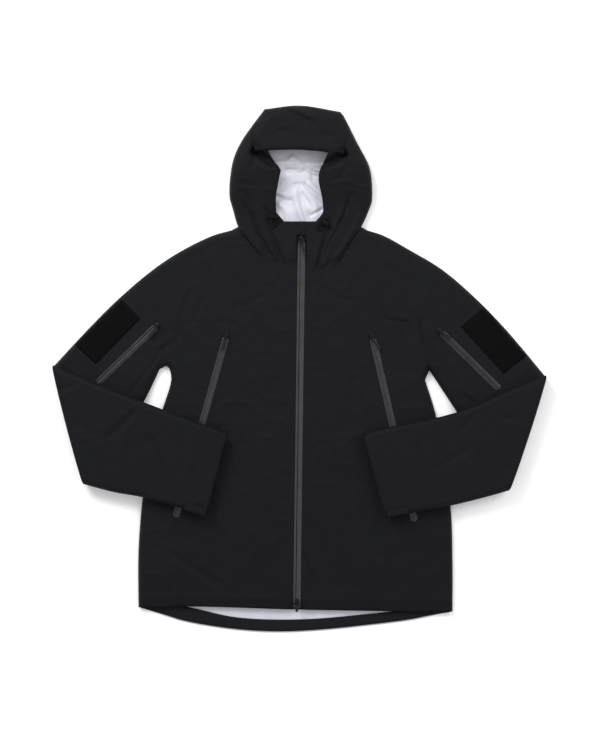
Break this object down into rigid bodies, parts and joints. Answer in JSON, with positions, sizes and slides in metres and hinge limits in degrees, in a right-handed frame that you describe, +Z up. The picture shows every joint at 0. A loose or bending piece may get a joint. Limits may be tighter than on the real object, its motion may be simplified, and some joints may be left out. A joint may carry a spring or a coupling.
{
  "type": "hardshell jacket",
  "caption": "Hooded waterproof shell jacket lying face up with both forearms folded over the front, full front zip, chest and upper-arm zip pockets and a stiff-brimmed hood.",
  "frame": {"origin": "middle of the jacket's outline as it lies, on the floor under the back panel", "axes": "+X to the wearer's left, +Y from the hem to the hood, +Z up out of the front"},
  "size_m": [0.929, 0.9974, 0.038],
  "materials": {
    "shell_fabric": "matte woven face with a faint sheen",
    "inner_face": "smooth pale laminate backing",
    "pocket_mesh": "matte knitted mesh",
    "zip_tape": "satin coated tape",
    "zip_metal": "dark lacquered metal",
    "pull_rubber": "moulded matte rubber",
    "loop_pile": "brushed loop pile",
    "cord_lock": "polished moulding",
    "drawcord": "braided elastic cord"
  },
  "bodies": {
    "torso": {"back_panel": "shell_fabric", "back_hem_facing": "shell_fabric", "collar_back_stand": "shell_fabric", "hanger_loop": "shell_fabric", "chin_guard": "shell_fabric", "zip_storm_flap": "shell_fabric", "front_zip_right_tape": "zip_tape", "front_zip_left_tape": "zip_tape", "right_front_panel": "shell_fabric", "right_yoke_panel": "shell_fabric", "right_upper_sleeve": "shell_fabric", "right_underarm_gusset": "shell_fabric", "right_arm_patch": "loop_pile", "right_collar_panel": "shell_fabric", "right_cord_lock_body": "cord_lock", "right_hood_drawcord": "drawcord", "right_pocket_zip_tape": "zip_tape", "right_arm_pocket_zip_tape": "zip_tape", "right_pocket_bag": "pocket_mesh", "left_front_panel": "shell_fabric", "left_yoke_panel": "shell_fabric", "left_upper_sleeve": "shell_fabric", "left_underarm_gusset": "shell_fabric", "left_arm_patch": "loop_pile", "left_collar_panel": "shell_fabric", "left_cord_lock_body": "cord_lock", "left_hood_drawcord": "drawcord", "left_pocket_zip_tape": "zip_tape", "left_arm_pocket_zip_tape": "zip_tape", "left_pocket_bag": "pocket_mesh"},
    "right_forearm": {"right_forearm_sleeve": "shell_fabric"},
    "right_cuff_tab": {"right_cuff_tab": "shell_fabric"},
    "left_forearm": {"left_forearm_sleeve": "shell_fabric"},
    "left_cuff_tab": {"left_cuff_tab": "shell_fabric"},
    "hood": {"hood_back_panel": "inner_face", "hood_right_side_panel": "shell_fabric", "hood_left_side_panel": "shell_fabric", "hood_crown_panel": "shell_fabric"},
    "hood_brim": {"hood_brim": "shell_fabric"},
    "front_zip_top_slider": {"front_zip_top_slider": "zip_metal"},
    "front_zip_top_pull": {"front_zip_top_pull": "pull_rubber"},
    "front_zip_bottom_slider": {"front_zip_bottom_slider": "zip_metal"},
    "front_zip_bottom_pull": {"front_zip_bottom_pull": "pull_rubber"},
    "right_pocket_slider": {"right_pocket_slider": "zip_metal"},
    "right_pocket_pull": {"right_pocket_pull": "pull_rubber"},
    "right_arm_pocket_slider": {"right_arm_pocket_slider": "zip_metal"},
    "right_arm_pocket_pull": {"right_arm_pocket_pull": "pull_rubber"},
    "left_pocket_slider": {"left_pocket_slider": "zip_metal"},
    "left_pocket_pull": {"left_pocket_pull": "pull_rubber"},
    "left_arm_pocket_slider": {"left_arm_pocket_slider": "zip_metal"},
    "left_arm_pocket_pull": {"left_arm_pocket_pull": "pull_rubber"},
    "right_cord_lock_button": {"right_cord_lock_button": "cord_lock"},
    "left_cord_lock_button": {"left_cord_lock_button": "cord_lock"}
  },
  "joints": [
    {"name": "right_sleeve_unfold", "type": "hinge", "parent": "torso", "child": "right_forearm", "pos_m": [-0.466, 0.007, 0.0195], "axis": [0.2517, -0.9678, 0], "range_deg": [0, 180]},
    {"name": "left_sleeve_unfold", "type": "hinge", "parent": "torso", "child": "left_forearm", "pos_m": [0.466, -0.012, 0.0195], "axis": [0.3083, 0.9513, 0], "range_deg": [0, 180]},
    {"name": "right_cuff_tab_peel", "type": "hinge", "parent": "right_forearm", "child": "right_cuff_tab", "pos_m": [-0.219, -0.2635, 0.0367], "axis": [0.9585, -0.2853, 0], "range_deg": [0, 160]},
    {"name": "left_cuff_tab_peel", "type": "hinge", "parent": "left_forearm", "child": "left_cuff_tab", "pos_m": [0.163, -0.278, 0.0367], "axis": [0.987, 0.1607, 0], "range_deg": [0, 160]},
    {"name": "hood_fold", "type": "hinge", "parent": "torso", "child": "hood", "pos_m": [0, 0.312, 0.044], "axis": [1, 0, 0], "range_deg": [0, 175]},
    {"name": "hood_brim_flip", "type": "hinge", "parent": "hood", "child": "hood_brim", "pos_m": [0, 0.434, 0.0383], "axis": [-1, 0, 0], "range_deg": [0, 45]},
    {"name": "front_zip_top_slider_travel", "type": "slide", "parent": "torso", "child": "front_zip_top_slider", "axis": [-0.0128, -0.9999, 0], "range_m": [0, 0.55]},
    {"name": "front_zip_top_pull_lift", "type": "hinge", "parent": "front_zip_top_slider", "child": "front_zip_top_pull", "pos_m": [0.00388, 0.241, 0.0207], "axis": [-0.9647, -0.2633, 0], "range_deg": [0, 120]},
    {"name": "front_zip_bottom_slider_travel", "type": "slide", "parent": "torso", "child": "front_zip_bottom_slider", "axis": [0.0128, 0.9999, 0], "range_m": [0, 0.06]},
    {"name": "front_zip_bottom_pull_lift", "type": "hinge", "parent": "front_zip_bottom_slider", "child": "front_zip_bottom_pull", "pos_m": [-0.00487, -0.443, 0.0207], "axis": [-0.9999, 0.0128, 0], "range_deg": [0, 120]},
    {"name": "right_pocket_slider_travel", "type": "slide", "parent": "torso", "child": "right_pocket_slider", "axis": [-0.2695, -0.963, 0], "range_m": [0, 0.3477]},
    {"name": "right_pocket_pull_lift", "type": "hinge", "parent": "right_pocket_slider", "child": "right_pocket_pull", "pos_m": [-0.13881, 0.06011, 0.0202], "axis": [-0.963, 0.2695, 0], "range_deg": [0, 120]},
    {"name": "right_arm_pocket_slider_travel", "type": "slide", "parent": "torso", "child": "right_arm_pocket_slider", "axis": [-0.7195, -0.6945, 0], "range_m": [0, 0.115]},
    {"name": "right_arm_pocket_pull_lift", "type": "hinge", "parent": "right_arm_pocket_slider", "child": "right_arm_pocket_pull", "pos_m": [-0.27116, 0.08092, 0.0202], "axis": [-0.8745, 0.485, 0], "range_deg": [0, 120]},
    {"name": "left_pocket_slider_travel", "type": "slide", "parent": "torso", "child": "left_pocket_slider", "axis": [0.2234, -0.9747, 0], "range_m": [0, 0.3496]},
    {"name": "left_pocket_pull_lift", "type": "hinge", "parent": "left_pocket_slider", "child": "left_pocket_pull", "pos_m": [0.13867, 0.05808, 0.0202], "axis": [-0.82, -0.5723, 0], "range_deg": [0, 120]},
    {"name": "left_arm_pocket_slider_travel", "type": "slide", "parent": "torso", "child": "left_arm_pocket_slider", "axis": [0.7166, -0.6975, 0], "range_m": [0, 0.115]},
    {"name": "left_arm_pocket_pull_lift", "type": "hinge", "parent": "left_arm_pocket_slider", "child": "left_arm_pocket_pull", "pos_m": [0.26815, 0.06991, 0.0202], "axis": [-0.5333, -0.8459, 0], "range_deg": [0, 120]},
    {"name": "right_cord_lock_press", "type": "slide", "parent": "torso", "child": "right_cord_lock_button", "axis": [0.9962, -0.0872, 0], "range_m": [0, 0.0022], "stiffness_N_per_m": 400},
    {"name": "left_cord_lock_press", "type": "slide", "parent": "torso", "child": "left_cord_lock_button", "axis": [-0.788, 0.6157, 0], "range_m": [0, 0.0022], "stiffness_N_per_m": 400}
  ]
}
